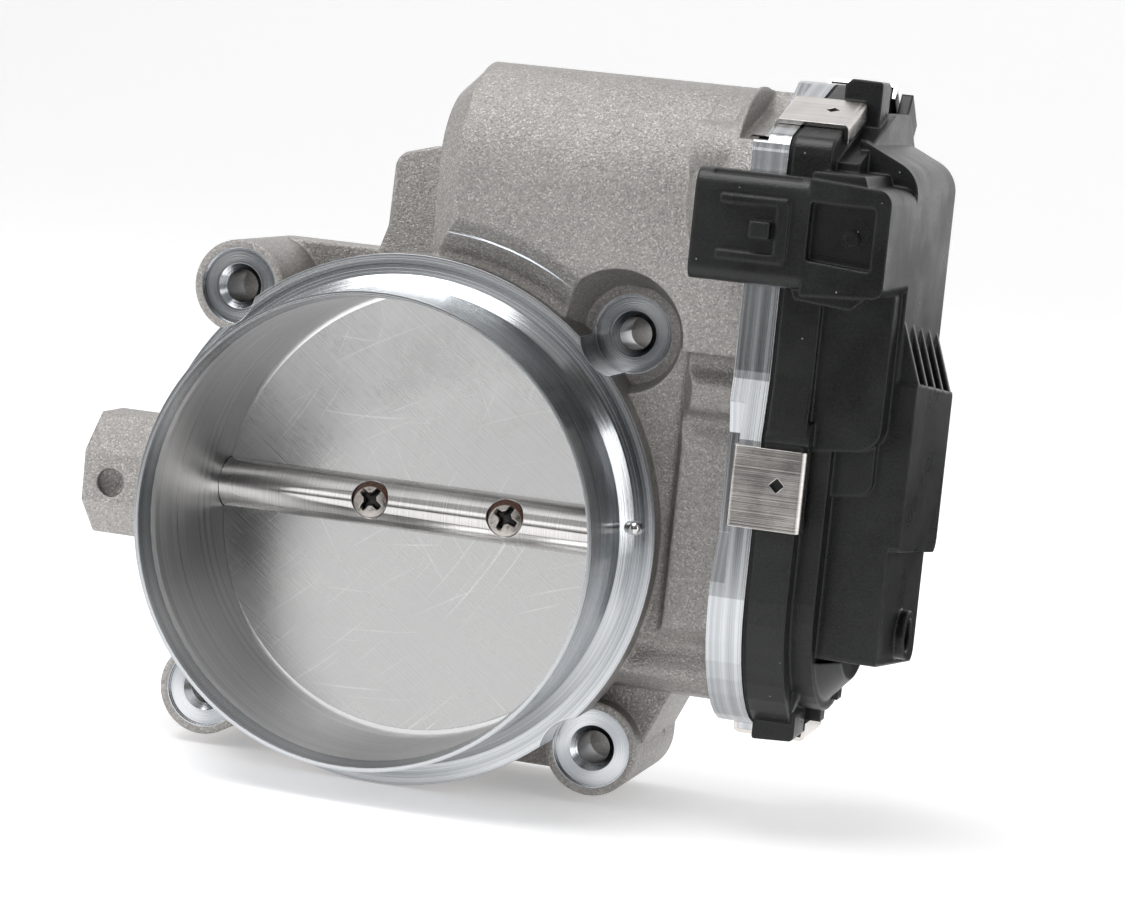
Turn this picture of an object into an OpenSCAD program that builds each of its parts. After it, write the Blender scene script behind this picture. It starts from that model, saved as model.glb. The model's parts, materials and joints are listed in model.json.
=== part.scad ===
// Electronic throttle body with a wide single bore.
// Frame: the origin is the centre of the bolt pattern on the rear mounting face,
// +Z is up, the bore runs along Y with its inlet snout towards -Y, and the
// throttle shaft runs along X with the gear case on the +X side.

/* [Bore and body] */
// Diameter of the throttle bore
bore_d = 95; // [79:0.5:114]
// Thickness of the cast wall around the bore
bore_wall = 5.5; // [4.5:0.5:8]
// Length of the body from the rear mounting face to the rim of the snout
body_len = 66.8; // [62:0.1:80]
// Distance of the shaft axis from the rear mounting face
shaft_from_rear = 19; // [17:0.5:23]
// Distance of the machined flange ring's face from the rear mounting face
ring_from_rear = 43; // [40:0.5:48]
// Radial width of the flange ring beyond the bore wall
ring_land = 8.5; // [7:0.5:11]
// Wall thickness of the inlet snout
snout_wall = 1.75; // [1.5:0.25:3]

/* [Mounting] */
// Distance from the bore wall to the centre of each mounting bolt
bolt_edge = 14.73; // [14:0.01:18]
// Diameter of the mounting bolt holes
bolt_hole_d = 7; // [5.5:0.1:8.5]
// Outer diameter of the bolt bosses
boss_d = 20; // [18:0.5:23]
// Height of the bolt bosses above the rear mounting face
boss_len = 31; // [26:0.5:36]
// Diameter of the machined seat under each bolt head
seat_d = 16.4; // [13:0.2:18]

/* [Throttle] */
// Diameter of the throttle shaft
shaft_d = 11; // [10:0.5:12]
// Thickness of the throttle plate
plate_t = 2; // [1.6:0.1:2.4]
// Angle of the plate from square to the bore when it is fully closed
closed_angle = 5; // [3:0.5:8]
// Further opening of the plate at its rest position
rest_opening = 7; // [4:0.5:10]
// Distance between the two plate screws
screw_spacing = 30.6; // [24:0.2:36]
// Sideways offset of the pair of plate screws from the bore axis
screw_shift = 2.7; // [0:0.1:4]
// Diameter of the plate screw heads
screw_head_d = 8; // [7:0.1:8.6]

/* [Motor] */
// Diameter of the motor can
motor_d = 36; // [33:0.5:38]
// Length of the motor can
motor_len = 54; // [48:0.5:55]
// Thickness of the casting between the bore and the motor
motor_bridge = 4.6; // [4:0.2:8]
// Distance of the motor axis in front of the shaft axis
motor_lead = 4; // [0:0.5:6]

/* [Gear train] */
// Number of teeth on the motor pinion
pinion_teeth = 15; // [14:1:16]
// Number of teeth on the large idler gear
idler_large_teeth = 57; // [54:1:58]
// Number of teeth on the small idler gear
idler_small_teeth = 18; // [17:1:20]
// Number of teeth that a full circle of the sector gear would have
sector_teeth = 53; // [50:1:54]
// Ratio of the summed centre distances to the straight motor to shaft distance
train_slack = 1.0126; // [1.008:0.0001:1.02]
// Backlash between meshing teeth
backlash = 0.24; // [0.16:0.02:0.3]

/* [Gear case and cover] */
// Distance from the bore wall to the back of the machined case flange
case_standoff = 22.5; // [21:0.5:28]
// Thickness of the machined case flange
flange_t = 7.5; // [7:0.5:9]
// Thickness of the case wall around the gears
case_wall = 2.6; // [2.2:0.1:3]
// Depth of the cover rim that the clips hold
rim_t = 8; // [6.5:0.1:9]
// Thickness of the moulded cover wall
cover_wall = 2.2; // [1.8:0.1:2.6]
// Width of each cover clip
clip_w = 16.5; // [12:0.5:19]
// Thickness of the clip spring steel
clip_t = 0.9; // [0.6:0.1:1.1]

/* [Fits] */
// Radial clearance of the shafts in their bearings and of the idler on its pin
running_gap = 0.03; // [0.02:0.01:0.06]
// Gap between the closed plate's edge and the bore wall
plate_gap = 0.1; // [0.08:0.01:0.2]
// Clearance around parts that are pushed into pockets
pocket_gap = 0.2; // [0.1:0.05:0.4]

/* [Hidden] */
$fn = 64;
tiny = 0.01;

cast_colour = [0.67, 0.66, 0.63];
machined_colour = [0.80, 0.81, 0.84];
plate_colour = [0.70, 0.70, 0.70];
steel_colour = [0.62, 0.63, 0.65];
bright_steel_colour = [0.78, 0.78, 0.76];
dark_steel_colour = [0.35, 0.35, 0.36];
plastic_colour = [0.10, 0.10, 0.11];
gear_colour = [0.86, 0.84, 0.76];
sector_colour = [0.16, 0.16, 0.17];
rubber_colour = [0.07, 0.07, 0.07];
copper_colour = [0.72, 0.45, 0.25];
brass_colour = [0.78, 0.64, 0.34];
board_colour = [0.10, 0.32, 0.18];
magnet_colour = [0.24, 0.24, 0.25];

// ---- Body ----
bore_r = bore_d / 2;
ring_r = bore_r + ring_land;
snout_r = bore_r + snout_wall;
barrel_r = bore_r + bore_wall;
shaft_r = shaft_d / 2;
bolt_half = (bore_r + bolt_edge) / sqrt(2);
boss_r = boss_d / 2;
seat_r = seat_d / 2;
rear_flange_t = 9;
ring_t = 10;
// Places along the bore measured from the shaft axis.
rear_y = shaft_from_rear;
ring_y = shaft_from_rear - ring_from_rear;
snout_y = shaft_from_rear - body_len;
boss_y = shaft_from_rear - boss_len;

// ---- Motor and its housing ----
motor_r = motor_d / 2;
motor_y = -motor_lead;
motor_z = bore_r + motor_bridge + motor_r + pocket_gap;
housing_wall = 4;
housing_r = motor_r + housing_wall;
crown_z = motor_z + 4.9;
housing_front = motor_y - housing_r;
housing_rear = min(motor_y + housing_r, rear_y - 1);
housing_cone = 5.8;
housing_bottom = 43 * bore_d / 95;

// ---- Gear case along X ----
flange_x = bore_r + case_standoff;
floor_x = flange_x + 3.2;
joint_x = flange_x + flange_t;
gasket_t = 0.8;
rim_x = joint_x + gasket_t;
rim_end = rim_x + rim_t;
motor_face = flange_x - 2.8;
motor_start = motor_face - motor_len;
housing_start = motor_start - 6.6;

// ---- Gear train in the plane across the shaft ----
train_teeth = pinion_teeth + idler_large_teeth + idler_small_teeth + sector_teeth;
motor_distance = norm([motor_y, motor_z]);
tooth_module = 2 * train_slack * motor_distance / train_teeth;
function pitch_r(teeth) = tooth_module * teeth / 2;
tip_share = 0.8;
root_share = 1.15;
pressure_angle = 25;
function tip_r(teeth) = pitch_r(teeth) + tip_share * tooth_module;
low_centres = pitch_r(idler_small_teeth + sector_teeth);
high_centres = pitch_r(pinion_teeth + idler_large_teeth);
// The idler sits behind the straight line from the shaft to the motor.
along_line = (low_centres ^ 2 - high_centres ^ 2 + motor_distance ^ 2) / (2 * motor_distance);
off_line = sqrt(low_centres ^ 2 - along_line ^ 2);
line_unit = [motor_y, motor_z] / motor_distance;
idler_at = along_line * line_unit + off_line * [line_unit[1], -line_unit[0]];
sector_to_idler = atan2(idler_at[1], idler_at[0]);
idler_to_motor = atan2(motor_z - idler_at[1], motor_y - idler_at[0]);
// Widths of the gears along X.
large_x = [floor_x + 1, floor_x + 5.6];
sector_x = [large_x[1] + 0.4, large_x[1] + 4.6];
small_end = sector_x[1] + 0.2;
hub_x = [sector_x[0] - 0.2, sector_x[1] + 4.7];
hub_r = shaft_r + 3.5;
full_opening = 83;
first_tooth = -3;
last_tooth = ceil((full_opening - rest_opening + 10) * sector_teeth / 360);
stop_arm_r = 22;
stop_arm_half = 3;
idler_pin_r = 3;

// ---- Outline of the gear case, [y, z, corner radius] from the shaft axis ----
gear_gap = 0.9;
case_r = tip_r(sector_teeth) + gear_gap + case_wall;
case_drop = 4.7;
case_bottom = -case_r - case_drop;
idler_case_r = tip_r(idler_large_teeth) + 0.5 + case_wall;
case_front = idler_at[0] - idler_case_r;
case_rear = idler_at[0] + idler_case_r;
nose_front = housing_front - 7.5;
roof_z = crown_z + housing_r + 2.4;
case_outline = [
  [-case_r, case_bottom, case_r - 0.6],
  [case_r, case_bottom, case_r - 0.6],
  [case_r, idler_at[1] - 26, 14],
  [case_rear, idler_at[1] - 10, 14],
  [case_rear - 2, roof_z - 10, 7],
  [case_rear - 14, roof_z, 8],
  [motor_y + 8, roof_z, 12],
  [nose_front, roof_z - 11.3, 4],
  [nose_front, motor_z + 8, 10],
  [case_front, motor_z - 9, 12],
  [case_front, idler_at[1] + 4, 20],
  [-case_r, idler_at[1] - 8, 20]
];

// ---- Cover along X ----
ledge_inset = 5;
step_end = rim_end + 4.7;
face_x = rim_end + 17.3;
pad_x = face_x + 2.4;
brow_x = face_x - 1.8;
block_front = -20;
block_rear = 23;
pad_z = [5, 39.5];
block_z = [-19, motor_z + 15];
block_slope = -0.11;
bulge_front = -26.5;
bulge_z = 26;
socket_x = flange_x - 7.5;
socket_front = nose_front - 13;
socket_rear = socket_front + 12.5;
socket_z = [motor_z - 11, motor_z + 11];

// ---- Helpers ----
function unit(v) = v / norm(v);
function cross2(a, b) = a[0] * b[1] - a[1] * b[0];
function wrap(i, n) = (i + n) % n;
// Points of one rounded corner q between the corners p and s.
function corner_arc(p, q, s, r) =
  r <= 0 ? [q] :
  let (a = unit(p - q), b = unit(s - q), half = acos(a * b) / 2)
  half > 89.5 ? [q] :
  let (
    centre = q + unit(a + b) * r / sin(half),
    start = q + a * r / tan(half) - centre,
    turn = (180 - 2 * half) * sign(cross2(-a, b)),
    from = atan2(start[1], start[0]),
    steps = max(2, ceil(abs(turn) / 9))
  )
  [for (i = [0:steps]) centre + r * [cos(from + turn * i / steps), sin(from + turn * i / steps)]];
// A closed outline of [u, v, radius] corners as points.
function rounded(c) =
  let (n = len(c))
  [for (i = [0:n - 1])
    let (p = c[wrap(i - 1, n)], q = c[i], s = c[wrap(i + 1, n)])
    each corner_arc([p[0], p[1]], [q[0], q[1]], [s[0], s[1]], q[2])];
// The same outline moved inwards by d; the corners run anticlockwise.
function inset(c, d) =
  let (n = len(c))
  [for (i = [0:n - 1])
    let (
      q = [c[i][0], c[i][1]],
      p = [c[wrap(i - 1, n)][0], c[wrap(i - 1, n)][1]],
      s = [c[wrap(i + 1, n)][0], c[wrap(i + 1, n)][1]],
      a = unit(p - q), b = unit(s - q),
      half = acos(a * b) / 2,
      side = cross2(-a, b) >= 0 ? 1 : -1,
      moved = q + side * unit(a + b) * d / sin(half)
    )
    [moved[0], moved[1], max(0.3, c[i][2] - side * d)]];
// A point on the outline's edge i at the share t, with the edge's outward angle.
function edge_spot(c, i, t) =
  let (
    p = [c[i][0], c[i][1]],
    s = [c[wrap(i + 1, len(c))][0], c[wrap(i + 1, len(c))][1]],
    at = p + (s - p) * t
  )
  [at[0], at[1], atan2(s[1] - p[1], s[0] - p[0]) - 90];

module at_shaft() translate([0, -shaft_from_rear, 0]) children();
// Extrudes a shape drawn in Y and Z along X.
module along_x(x) translate([x[0], 0, 0]) rotate([90, 0, 90]) linear_extrude(x[1] - x[0]) children();
// Extrudes a shape drawn in X and Z along Y.
module along_y(y) translate([0, y[1], 0]) rotate([90, 0, 0]) linear_extrude(y[1] - y[0]) children();
module x_rod(x, r) translate([x[0], 0, 0]) rotate([0, 90, 0]) cylinder(h = x[1] - x[0], r = r);
module x_cone(x, r0, r1) translate([x[0], 0, 0]) rotate([0, 90, 0]) cylinder(h = x[1] - x[0], r1 = r0, r2 = r1);
module y_rod(y, r) translate([0, y[0], 0]) rotate([-90, 0, 0]) cylinder(h = y[1] - y[0], r = r);
module y_cone(y, r0, r1) translate([0, y[0], 0]) rotate([-90, 0, 0]) cylinder(h = y[1] - y[0], r1 = r0, r2 = r1);
module x_tube(x, r_in, r_out) difference() {
  x_rod(x, r_out);
  x_rod([x[0] - 1, x[1] + 1], r_in);
}
module box(x, y, z) translate([x[0], y[0], z[0]]) cube([x[1] - x[0], y[1] - y[0], z[1] - z[0]]);
module at_motor() translate([0, motor_y, motor_z]) children();
module at_idler() translate([0, idler_at[0], idler_at[1]]) children();
module at_bolts() for (sx = [-1, 1], sz = [-1, 1]) translate([sx * bolt_half, 0, sz * bolt_half]) children();

// ---- Gear teeth ----
function involute(a) = tan(a) - a * PI / 180;
function gear_radii(teeth) =
  let (r = pitch_r(teeth), root = r - root_share * tooth_module, tip = tip_r(teeth))
  [root, root + 0.45 * (r - root), r, (r + tip) / 2, tip];
// Half of a tooth's angular width at the radius r.
function half_tooth(teeth, r) =
  let (
    pitch = pitch_r(teeth), base = pitch * cos(pressure_angle),
    slope = acos(base / max(r, base)),
    at_pitch = 90 / teeth - backlash / 4 / pitch * 180 / PI
  )
  at_pitch + (involute(pressure_angle) - involute(slope)) * 180 / PI;
function tooth_points(teeth, middle) =
  let (radii = gear_radii(teeth))
  concat(
    [for (i = [0:4]) let (a = middle - half_tooth(teeth, radii[i])) radii[i] * [cos(a), sin(a)]],
    [for (i = [4:-1:0]) let (a = middle + half_tooth(teeth, radii[i])) radii[i] * [cos(a), sin(a)]]
  );
module gear_face(teeth, phase) polygon([
  for (k = [0:teeth - 1]) each tooth_points(teeth, phase + 360 * k / teeth)
]);
module sector_face(teeth, phase, first, last) polygon([
  [0, 0],
  for (k = [first:last]) each tooth_points(teeth, phase + 360 * k / teeth)
]);

// ---- Outline shapes ----
module case_face(d) {
  polygon(rounded(inset(case_outline, d)));
  // The flat pad for the bottom clip.
  translate([bottom_y - clip_w / 2 - 1 + d, case_bottom - 1.1 + d]) square([clip_w + 2 - 2 * d, 8]);
}

// ---- Housing ----
module motor_shell() {
  along_x([housing_start, flange_x + tiny]) {
    translate([motor_y, crown_z]) circle(r = housing_r);
    translate([housing_front + 0.2, housing_bottom])
      square([housing_rear - housing_front - 0.4, crown_z - housing_bottom]);
  }
  // The sloping left end of the motor housing.
  translate([0, motor_y, crown_z])
    x_cone([housing_start - housing_cone, housing_start + 0.2], housing_r - housing_cone - 0.3, housing_r - 0.1);
  translate([0, 0, housing_bottom]) linear_extrude(crown_z - housing_bottom) polygon([
    [housing_start - housing_cone, housing_front + housing_cone + 0.5],
    [housing_start + 0.3, housing_front + 0.5], [housing_start + 0.3, housing_rear - 0.5],
    [housing_start - housing_cone, housing_rear - housing_cone - 0.5]
  ]);
  // The swellings next to the case flange.
  translate([0, motor_y - 3, crown_z - 1]) {
    x_rod([flange_x - 12, flange_x + tiny], housing_r);
    x_cone([flange_x - 14.5, flange_x - 12 + tiny], housing_r - 3.2, housing_r - 0.2);
  }
  translate([0, motor_y - 5, crown_z - 1]) {
    x_rod([flange_x - 4.7, flange_x + tiny], housing_r + 1.5);
    x_cone([flange_x - 7.2, flange_x - 4.2], housing_r - 1.5, housing_r + 0.9);
  }
  motor_ear_spots() x_rod([motor_face - 11, flange_x + tiny], ear_r + 2.1);
}
module gear_block() intersection() {
  along_x([barrel_r - 18, flange_x + tiny]) polygon(rounded([
    [-26, 62, 0], [-26, 46, 5], [-20, 41, 2.5], [-24.5, 36, 2.5], [-24, 31.5, 2], [-20, 29, 2.5],
    [-22, 23, 3], [-21, -14, 3], [-17, -19, 3], [-19, -25, 3], [-14, -29, 3],
    [-6, -31, 3], [rear_y, -31, 3], [rear_y, 62, 0]
  ]));
  linear_extrude(200, center = true) polygon(rounded([
    [barrel_r - 18, -18.5, 0], [ring_r + 1.5, -19, 2], [flange_x - 9, -25, 4],
    [flange_x + 1, -27, 0], [flange_x + 1, rear_y - 1, 0], [barrel_r - 18, rear_y - 1, 0]
  ]));
}
module boss_webs() for (sx = [-1, 1], sz = [-1, 1]) scale([sx, 1, sz])
  rotate([0, -45, 0]) box([barrel_r - 2, norm([bolt_half, bolt_half])], [boss_y + 9, rear_y - 2], [-7, 7]);
module left_boss() translate([0, 0, -1]) {
  rotate([0, 90, 0]) translate([0, 0, -bore_r - 28.5])
    rotate(22.5) cylinder(h = 32, r = 13.3 / cos(22.5), $fn = 8);
}
module side_tab() along_y([-2, 6]) polygon(rounded([
  [-19, 48, 0], [-15.2, 60, 6], [-14.8, 75.5, 4], [-6, 78, 2], [housing_start, 78, 0], [housing_start, 48, 0]
]));
module lower_web() along_y([-8, rear_y]) polygon(rounded([
  [bolt_half - 6, -bolt_half + 2, 0], [bolt_half + boss_r - 1, -bolt_half, 2], [bolt_half + 16, -28, 4],
  [flange_x - 2, -27, 0], [flange_x - 2, -24, 0], [bore_r - 2, -24, 0]
]));
// The milled rebates that the clips hook into, with a run-out at both ends.
module clip_notches() for (spot = clip_spots)
  translate([0, spot[0], spot[1]]) rotate([spot[2], 0, 0]) along_x([flange_x - 4, hook_x])
    polygon([
      [6, -clip_w / 2 - 12], [0.01, -clip_w / 2 - 12], [-clip_leg - 0.4, -clip_w / 2 - 2], [-clip_leg - 0.4, clip_w / 2 + 2],
      [0.01, clip_w / 2 + 12], [6, clip_w / 2 + 12]
    ]);
module rear_face() {
  along_y([rear_y - rear_flange_t, rear_y]) {
    square([2 * bolt_half, 2 * (bolt_half + boss_r)], center = true);
    square([2 * (bolt_half + boss_r), 2 * bolt_half], center = true);
    for (sx = [-1, 1], sz = [-1, 1]) translate([sx * bolt_half, sz * bolt_half]) circle(r = boss_r);
  }
}
module raw_casting() {
  y_rod([ring_y + 2, rear_y - 2], barrel_r);
  y_rod([ring_y, ring_y + ring_t], ring_r);
  y_cone([ring_y + 1.5, boss_y + 2], ring_r - 0.5, barrel_r + 0.7);
  rear_face();
  at_bolts() y_rod([boss_y - 1, rear_y - 1], boss_r);
  boss_webs();
  left_boss();
  side_tab();
  motor_shell();
  gear_block();
  lower_web();
}
module machined_front() {
  facing_r = ring_r + 6;
  // The facing cutter clears everything in front of the ring's face.
  y_rod([snout_y - 20, ring_y], facing_r);
  // The cast valley that runs down from the motor housing to the ring.
  difference() {
    translate([2.2, 0, 2]) y_cone([ring_y - 6, ring_y + 2.6], ring_r + 14, ring_r - 0.9);
    y_rod([ring_y - 8, ring_y + 6], ring_r);
  }
  at_bolts() {
    y_rod([snout_y - 20, boss_y], seat_r);
    y_cone([boss_y - tiny, boss_y + 1.6], bolt_hole_d / 2 + 1.4, bolt_hole_d / 2);
  }
  // Flared room in front of the bosses, outside the ring.
  difference() {
    at_bolts() y_cone([boss_y - 30, boss_y - 0.8], boss_r + 9, boss_r + 0.3);
    y_rod([snout_y - 30, boss_y + 1], ring_r);
  }
}
module housing_body() {
  difference() {
    raw_casting();
    machined_front();
  }
  y_rod([snout_y, ring_y + 1], snout_r);
  y_cone([ring_y - 2.5, ring_y + tiny], snout_r, snout_r + 2.5);
  along_x([flange_x, joint_x]) case_face(0);
}
module housing_cuts() {
  y_rod([snout_y - 1, rear_y + 1], bore_r);
  y_cone([snout_y - tiny, snout_y + 7], bore_r + 0.9, bore_r);
  at_bolts() y_rod([boss_y - 20, rear_y + 1], bolt_hole_d / 2);
  // Shaft line.
  x_rod([-left_bearing_x[1], -left_seal_x[0]], left_seat_r);
  for (s = [-1, 1]) x_rod(s > 0 ? [bore_r - 12, right_seal_x[0] + 1] : [-left_seal_x[0] - 1, 12 - bore_r], shaft_r + 0.2);
  x_rod([right_seal_x[0], right_bearing_x[0] + tiny], right_seal_r);
  x_rod([right_bearing_x[0], right_bearing_x[1]], right_bearing_r);
  x_rod([right_bearing_x[1] - tiny, floor_x + 1], chamber_r);
  // Gear pocket and motor pocket.
  along_x([floor_x, joint_x + 1]) polygon(rounded(inset(case_outline, case_wall)));
  at_motor() {
    x_rod([motor_start - 4, floor_x + 1], motor_r + pocket_gap);
    x_rod([motor_start - 7, motor_start], motor_boss_r + 1);
  }
  motor_ear_spots() {
    x_rod([motor_face, floor_x + 1], ear_r + pocket_gap);
    x_rod([motor_face - 9, floor_x + 1], motor_screw_r + running_gap);
  }
  at_motor() {
    x_rod([motor_face, floor_x + 1], motor_r + 1);
    for (turn = [0, 180]) rotate([ear_angle + turn, 0, 0])
      box([motor_face - 0.15, floor_x + 1], [motor_r - 3, ear_reach], [0.15 - ear_r, ear_r - 0.15]);
  }
  at_idler() x_rod([floor_x - 10, floor_x + 1], idler_pin_r);
  stop_screw_line() y_rod([0, 60], stop_screw_r);
  // Dimple in the left boss.
  translate([-bore_r - 22, 0, -2]) {
    y_rod([-20, -11.4], 3.2);
    y_cone([-11.5, -10.4], 3.2, 0.5);
  }
  translate([pin_x, 0, pin_z]) y_rod([ring_y - 2, ring_y + 4], pin_r);
  clip_notches();
}
module housing() color(cast_colour) at_shaft() difference() {
  housing_body();
  housing_cuts();
}

// ---- Shaft line ----
seal_t = 3.2;
left_seat_r = shaft_r + 2.5;
left_seal_x = [bore_r + 1.3, bore_r + 1.3 + seal_t];
left_bearing_x = [left_seal_x[1] + 0.2, left_seal_x[1] + 10.8];
left_shaft_end = left_bearing_x[1] - 1.2;
right_seal_r = shaft_r + 3.5;
right_seal_x = [bore_r + 1.3, bore_r + 1.3 + seal_t];
right_bearing_r = shaft_r + 6.5;
right_bearing_x = [right_seal_x[1], right_seal_x[1] + 8];
chamber_r = shaft_r + 11.3;
plate_r = bore_r - plate_gap;
screw_seat = shaft_r - 1.9;
screw_shank_r = 2;
screw_tip = shaft_r - 0.4;
slot_gap = 0.05;
pin_x = snout_r + 2.5;
pin_z = 5.4;
pin_r = 1.4;
screw_places = [for (s = [-1, 1]) screw_shift + s * screw_spacing / 2];

// Tilts children from square to the bore to the plate's rest position.
module at_rest() rotate([-closed_angle - rest_opening, 0, 0]) children();
module throttle_plate() color(plate_colour) at_shaft() rotate([-rest_opening, 0, 0]) difference() {
  intersection() {
    y_rod([-bore_r, bore_r], plate_r);
    rotate([-closed_angle, 0, 0]) box([-bore_r, bore_r], [-plate_t / 2, plate_t / 2], [-60 * bore_d / 95, 60 * bore_d / 95]);
  }
  rotate([-closed_angle, 0, 0]) for (x = screw_places) translate([x, 0, 0]) y_rod([-5, 5], screw_shank_r + 0.1);
}
module throttle_shaft() color(bright_steel_colour) at_shaft() at_rest() difference() {
  x_rod([-left_shaft_end, hub_x[1] - 3.4], shaft_r);
  box([-bore_r - 0.4, bore_r + 0.4], [-plate_t / 2 - slot_gap, plate_t / 2 + slot_gap], [-shaft_r - 1, shaft_r + 1]);
  for (x = screw_places) translate([x, 0, 0]) {
    y_rod([-shaft_r - 1, -screw_seat], screw_head_d / 2 + 0.15);
    y_rod([-shaft_r - 1, shaft_r + 1], screw_shank_r + 0.02);
  }
}
module plate_screw() difference() {
  union() {
    y_rod([-shaft_r, -screw_seat], screw_head_d / 2);
    y_rod([-screw_seat - tiny, screw_tip], screw_shank_r);
  }
  // Cross recess.
  for (a = [0, 90]) rotate([0, a + 20, 0])
    box([-2.3, 2.3], [-shaft_r - 1, -shaft_r + 1.2], [-0.45, 0.45]);
}
module plate_screws() color(steel_colour) at_shaft() at_rest()
  for (x = screw_places) translate([x, 0, 0]) plate_screw();
module locating_pin() color(bright_steel_colour) at_shaft() translate([pin_x, 0, pin_z]) {
  y_rod([ring_y - 1, ring_y + 4], pin_r);
  translate([0, ring_y - 1, 0]) sphere(r = pin_r);
}
module left_bearing() color(steel_colour) at_shaft() difference() {
  x_rod([-left_bearing_x[1], -left_bearing_x[0]], left_seat_r);
  x_rod([-left_bearing_x[1] + 0.8, -left_bearing_x[0] + 1], shaft_r + running_gap);
}
module right_bearing() color(steel_colour) at_shaft() difference() {
  x_tube(right_bearing_x, shaft_r + running_gap, right_bearing_r);
  x_tube([right_bearing_x[1] - 0.6, right_bearing_x[1] + 1], shaft_r + 1.8, right_bearing_r - 1.8);
}
module left_shaft_seal() color(rubber_colour) at_shaft()
  x_tube([-left_seal_x[1], -left_seal_x[0]], shaft_r + running_gap, left_seat_r);
module right_shaft_seal() color(rubber_colour) at_shaft()
  x_tube(right_seal_x, shaft_r + running_gap, right_seal_r);

// ---- Motor ----
can_wall = 1.6;
magnet_t = 3.4;
armature_r = motor_r - can_wall - magnet_t - 0.6;
rotor_shaft_r = 2;
motor_boss_r = 6;
bush_r = 4;
motor_screw_r = 2;
ear_r = 4.6;
end_plate_t = 1.6;
ear_reach = motor_r + 4.5;
ear_angle = 145;
magnet_x = [motor_start + 6, motor_face - 14];
stack_x = [motor_start + 8, motor_face - 16];
commutator_x = [stack_x[1] + 2, stack_x[1] + 8];
pinion_x = [large_x[0] - 0.4, large_x[1] + 0.4];
wave_x = [motor_start - 3.9, motor_start - 0.1];

module motor_ear_spots() at_motor() for (turn = [0, 180])
  translate([0, ear_reach * cos(ear_angle + turn), ear_reach * sin(ear_angle + turn)]) children();
module motor_can() color(steel_colour) at_shaft() at_motor() difference() {
  union() {
    x_rod([motor_start, motor_face], motor_r);
    x_rod([motor_start - 3, motor_start + tiny], motor_boss_r);
  }
  x_rod([motor_start + can_wall, motor_face + 1], motor_r - can_wall);
  x_rod([motor_start - 4, motor_start + 3], bush_r);
}
module motor_magnets() color(magnet_colour) at_shaft() at_motor() for (turn = [20, 200])
  translate([magnet_x[0], 0, 0]) rotate([90, 0, 90]) rotate(turn)
    rotate_extrude(angle = 140) translate([motor_r - can_wall - magnet_t, 0])
      square([magnet_t - 0.02, magnet_x[1] - magnet_x[0]]);
module motor_armature() color(copper_colour) at_shaft() at_motor() difference() {
  union() {
    x_rod(stack_x, armature_r);
    x_rod([stack_x[0] - 3.5, stack_x[1] + 1.8], armature_r - 3.5);
  }
  // Winding slots.
  for (k = [0:6]) rotate([360 * k / 7, 0, 0])
    box([stack_x[0] - 1, stack_x[1] + 1], [armature_r - 3, armature_r + 1], [-0.9, 0.9]);
  x_rod([stack_x[0] - 5, stack_x[1] + 5], rotor_shaft_r);
}
module motor_commutator() color(copper_colour) at_shaft() at_motor() difference() {
  x_tube(commutator_x, rotor_shaft_r, 5);
  for (k = [0:6]) rotate([360 * k / 7 + 25, 0, 0])
    box([commutator_x[0] - 1, commutator_x[1] + 1], [4.2, 6], [-0.25, 0.25]);
}
module motor_shaft() color(bright_steel_colour) at_shaft() at_motor()
  x_rod([motor_start - 1.8, pinion_x[1]], rotor_shaft_r);
module motor_brushes() color(magnet_colour) at_shaft() at_motor() for (s = [-1, 1])
  box([commutator_x[0] + 1, commutator_x[1] - 1], [s > 0 ? 5.1 : -12, s > 0 ? 12 : -5.1], [-1.8, 1.8]);
module motor_end_plate() color(steel_colour) at_shaft() difference() {
  union() {
    at_motor() {
      x_rod([motor_face + 0.02, motor_face + end_plate_t], motor_r);
      // Brush holders reach from the plate down to the brushes.
      for (s = [-1, 1]) box([commutator_x[0] + 1, motor_face + 0.1], [s > 0 ? 12.1 : -14.1, s > 0 ? 14.1 : -12.1], [-3, 3]);
      x_rod([motor_face - 2, motor_face + 1], motor_boss_r);
    }
    motor_ear_spots() x_rod([motor_face + 0.02, motor_face + end_plate_t], ear_r);
    for (turn = [0, 180]) at_motor() rotate([ear_angle + turn, 0, 0])
      box([motor_face + 0.02, motor_face + end_plate_t], [motor_r - 3, ear_reach], [0.3 - ear_r, ear_r - 0.3]);
  }
  at_motor() x_rod([motor_face - 3, motor_face + 5], bush_r);
  motor_ear_spots() x_rod([motor_face - 1, motor_face + 5], motor_screw_r + 0.2);
  terminal_spots() box([motor_face - 1, motor_face + 5], [-1.7, 1.7], [-0.6, 0.6]);
}
module motor_front_bush() color(brass_colour) at_shaft() at_motor()
  x_tube([motor_face - 2, motor_face + end_plate_t], rotor_shaft_r + running_gap, bush_r);
module motor_rear_bush() color(brass_colour) at_shaft() at_motor()
  x_tube([motor_start - 2.4, motor_start + 2], rotor_shaft_r + running_gap, bush_r);
module terminal_spots() at_motor() for (s = [-1, 1]) translate([0, 6 * s, 10.4]) children();
module motor_terminals() color(brass_colour) at_shaft() terminal_spots()
  box([motor_face - 2, motor_face + 12], [-1.5, 1.5], [-0.4, 0.4]);
module motor_screws() color(steel_colour) at_shaft() motor_ear_spots() difference() {
  union() {
    x_rod([motor_face - 8, motor_face + end_plate_t + tiny], motor_screw_r);
    x_rod([motor_face + end_plate_t + 0.02, motor_face + end_plate_t + 1.9], 3.6);
  }
  rotate([30, 0, 0]) for (a = [0, 90]) rotate([a, 0, 0])
    box([motor_face + end_plate_t + 1, motor_face + end_plate_t + 3], [-2, 2], [-0.4, 0.4]);
}
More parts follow.
